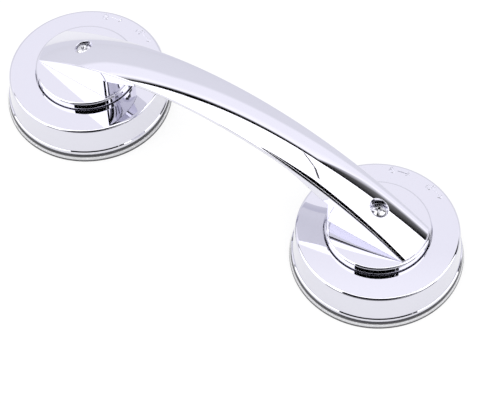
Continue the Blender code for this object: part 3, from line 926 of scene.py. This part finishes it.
def finish_nodes(materials):
    """Gives the CAD pieces that stay in view their finish."""
    finishes = {
        "boss_screw": "screw", "threaded_insert": "brass", "pressure_plate": "plate",
        "glide_washer": "washer", "cam_sleeve": "sleeve", "lift_follower": "follower",
        "pull_stud": "inner", "stud_nut": "inner", "stud_washer": "inner",
    }
    for name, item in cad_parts.items():
        for ending, finish in finishes.items():
            if name.endswith(ending):
                for slot in item.material_slots:
                    slot.material = materials[finish]


# ---- studio ----
FLOOR_Z = -0.0004
FLOOR_GLOW = 0.79
REACH = 4.0                   # half the width of the floor and of the overhead panel
CEILING = 1.3                 # height of the light panels
LAYER = 0.01                  # drop from one panel to the next below it
CABLE_HALF = 0.012
GREY_ZONE = 0.16              # width of the grey zone, seen from one metre below
FAR_ZONE = 6.0


def hide_from_camera(item):
    item.visible_camera = False
    item.visible_shadow = False


def panel(name, rows, colours, material):
    """A sheet of light or shade between rows of points, with a colour at each point."""
    points = [p for row in rows for p in row]
    width = len(rows[0])
    faces = []
    for i in range(len(rows) - 1):
        for j in range(width - 1):
            k = i * width + j
            faces.append((k, k + 1, k + width + 1, k + width))
    mesh = bpy.data.meshes.new(name)
    mesh.from_pydata(points, [], faces)
    attribute = mesh.color_attributes.new("light", "FLOAT_COLOR", "POINT")
    for value, colour in zip(attribute.data, [c for row in colours for c in row]):
        value.color = (*colour, 1)
    mesh.materials.append(material)
    item = bpy.data.objects.new(name, mesh)
    bpy.context.scene.collection.objects.link(item)
    hide_from_camera(item)
    return item


def light_material():
    material = bpy.data.materials.new("panel_light")
    material.use_nodes = True
    nodes = material.node_tree.nodes
    nodes.clear()
    colour = nodes.new("ShaderNodeAttribute")
    colour.attribute_name = "light"
    emission = nodes.new("ShaderNodeEmission")
    output = nodes.new("ShaderNodeOutputMaterial")
    material.node_tree.links.new(colour.outputs["Color"], emission.inputs["Color"])
    material.node_tree.links.new(emission.outputs["Emission"], output.inputs["Surface"])
    return material


WHITE = (1.9, 1.9, 1.9)
BRIGHT = (1.30, 1.29, 1.34)
SKY = (1.11, 1.10, 1.16)
GREY_SKY = (0.89, 0.89, 0.94)
FAR_SKY = (0.83, 0.83, 0.88)
BLACK = (0.0, 0.0, 0.0)

# The dark gap between the panels, as places on a ceiling one metre up. Then how light its far edge is, and
# the widths of the gap, of the fade beyond it, and of the bright and the light zone that follow.
GapPoint = namedtuple("GapPoint", "x y shade gap fade bright light")
GAP_LINE = [
    GapPoint(-6.0, -3.5, 0.0, 0.05, 0.10, 0.2, 0.6),
    GapPoint(-1.4, -0.2, 0.3, 0.05, 0.10, 0.1, 0.4),
    GapPoint(-0.6, 0.1, 0.0, 0.08, 0.05, 0.1, 0.3),
    GapPoint(0.2, 0.5, 0.0, 0.05, 0.05, 0.2, 0.4),
    GapPoint(0.7, 1.1, 0.2, 0.35, 0.20, 0.1, 0.2),
    GapPoint(4.0, 4.4, 0.0, 0.60, 0.40, 0.2, 0.3),
]
FAR_WAY = Vector((-0.53, 0.85))    # from the gap into the far part of the room
BRANCH = [(0.1, 0.4), (0.2, 0.2), (0.25, 0.0)]    # a thin cable across the overhead panel

ROOM_RADIUS = 1.0             # dark part of the room behind the camera
ROOM_DEGREES = range(-20, 101, 10)
ROOM_HEIGHTS = (-0.2, 0.16, 0.45)
ROOM_TOP = (0.60, 0.60, 0.65)
OPENING_Z = 0.80              # height of the dark opening that the camera looks through
OPENINGS = [
    ([(-0.05, -2.0), (1.4, -2.0)], [(-0.05, -0.152), (1.4, -0.152)]),
    ([(-0.05, -0.147), (0.2, -0.147), (1.4, -0.147)], [(-0.05, -0.146), (0.2, -0.08), (1.4, -0.08)]),
]


def make_overhead_panel(material):
    corners = [[(-REACH, y, CEILING), (REACH, y, CEILING)] for y in (-REACH, REACH)]
    panel("overhead_panel", corners, [[WHITE, WHITE]] * 2, material)


def make_far_panel(material):
    """The gap and the zones of light beyond it, from black through bright to the far grey."""
    colours = [[colour] * len(GAP_LINE) for colour in (BLACK, BLACK, BRIGHT, SKY, SKY, GREY_SKY, FAR_SKY)]
    colours[1] = [(point.shade,) * 3 for point in GAP_LINE]
    rows = [[] for _ in colours]
    for point in GAP_LINE:
        step = -point.gap / 2
        widths = (0.0, point.gap, point.fade, point.bright, point.light, GREY_ZONE, FAR_ZONE)
        for row, width in zip(rows, widths):
            step += width
            row.append((*((Vector((point.x, point.y)) + FAR_WAY * step) * CEILING), CEILING - LAYER))
    panel("far_panel", rows, colours, material)


def make_cable(material):
    z = CEILING - 2 * LAYER
    rows = [[(x * CEILING - half, y * CEILING, z) for x, y in BRANCH] for half in (CABLE_HALF, -CABLE_HALF)]
    panel("branch_cable", rows, [[BLACK] * len(BRANCH)] * 2, material)


def make_openings(material):
    for number, (near, far) in enumerate(OPENINGS):
        rows = [[(x, y, OPENING_Z) for x, y in edge] for edge in (near, far)]
        panel(f"camera_opening_{number}", rows, [[BLACK] * len(near)] * 2, material).visible_diffuse = False


def make_dark_room(material):
    turns = [math.radians(degrees) for degrees in ROOM_DEGREES]
    ring = [(ROOM_RADIUS * math.sin(turn), -ROOM_RADIUS * math.cos(turn)) for turn in turns]
    rows = [[(x, y, height) for x, y in ring] for height in ROOM_HEIGHTS]
    shades = [[shade] * len(ring) for shade in (BLACK, BLACK, ROOM_TOP)]
    panel("dark_room", rows, shades, material).visible_diffuse = False


def make_panels():
    material = light_material()
    make_overhead_panel(material)
    make_far_panel(material)
    make_cable(material)
    make_openings(material)
    make_dark_room(material)


def make_floor():
    mesh = bpy.data.meshes.new("floor")
    corners = [(x * REACH, y * REACH, FLOOR_Z) for x, y in ((-1, -1), (1, -1), (1, 1), (-1, 1))]
    mesh.from_pydata(corners, [], [(0, 1, 2, 3)])
    material, _, _, shader = new_material("floor_paper")
    shader.inputs["Base Color"].default_value = (0.18, 0.18, 0.18, 1)
    shader.inputs["Roughness"].default_value = 1.0
    shader.inputs["Specular IOR Level"].default_value = 0.0
    shader.inputs["Emission Color"].default_value = (1, 1, 1, 1)
    shader.inputs["Emission Strength"].default_value = FLOOR_GLOW
    mesh.materials.append(material)
    floor = bpy.data.objects.new("floor", mesh)
    bpy.context.scene.collection.objects.link(floor)


def make_world():
    world = bpy.data.worlds.new("studio")
    world.use_nodes = True
    back = world.node_tree.nodes["Background"]
    back.inputs["Color"].default_value = (0.90, 0.90, 0.96, 1)
    back.inputs["Strength"].default_value = 0.95
    bpy.context.scene.world = world


CAMERA_DEGREES = (36.9, 55.4, -2.46)    # azimuth, elevation and roll
CAMERA_TARGET = Vector((0.0245, -0.02235, 0.020))
CAMERA_DISTANCE = 0.95984
LENS = 145.4                  # millimetres, on a sensor 36 mm wide


def make_camera():
    """A long lens from the front right, looking down at the handle, rolled a little."""
    azimuth, elevation, roll = [math.radians(degrees) for degrees in CAMERA_DEGREES]
    back = Vector((math.sin(azimuth) * math.cos(elevation), -math.cos(azimuth) * math.cos(elevation),
                   math.sin(elevation)))
    right = Vector((math.cos(azimuth), math.sin(azimuth), 0))
    up = back.cross(right)
    right, up = right * math.cos(roll) + up * math.sin(roll), up * math.cos(roll) - right * math.sin(roll)
    camera = bpy.data.cameras.new("camera")
    camera.sensor_width = 36.0
    camera.lens = LENS
    camera.clip_start = 0.05
    camera.clip_end = 20.0
    item = bpy.data.objects.new("camera", camera)
    turn = Matrix((right, up, back)).transposed().to_4x4()
    item.matrix_world = Matrix.Translation(CAMERA_TARGET + back * CAMERA_DISTANCE) @ turn
    bpy.context.scene.collection.objects.link(item)
    bpy.context.scene.camera = item
    bpy.context.scene.view_settings.view_transform = "Standard"


materials = make_materials()
make_pieces(materials)
finish_nodes(materials)
make_floor()
make_world()
make_panels()
make_camera()
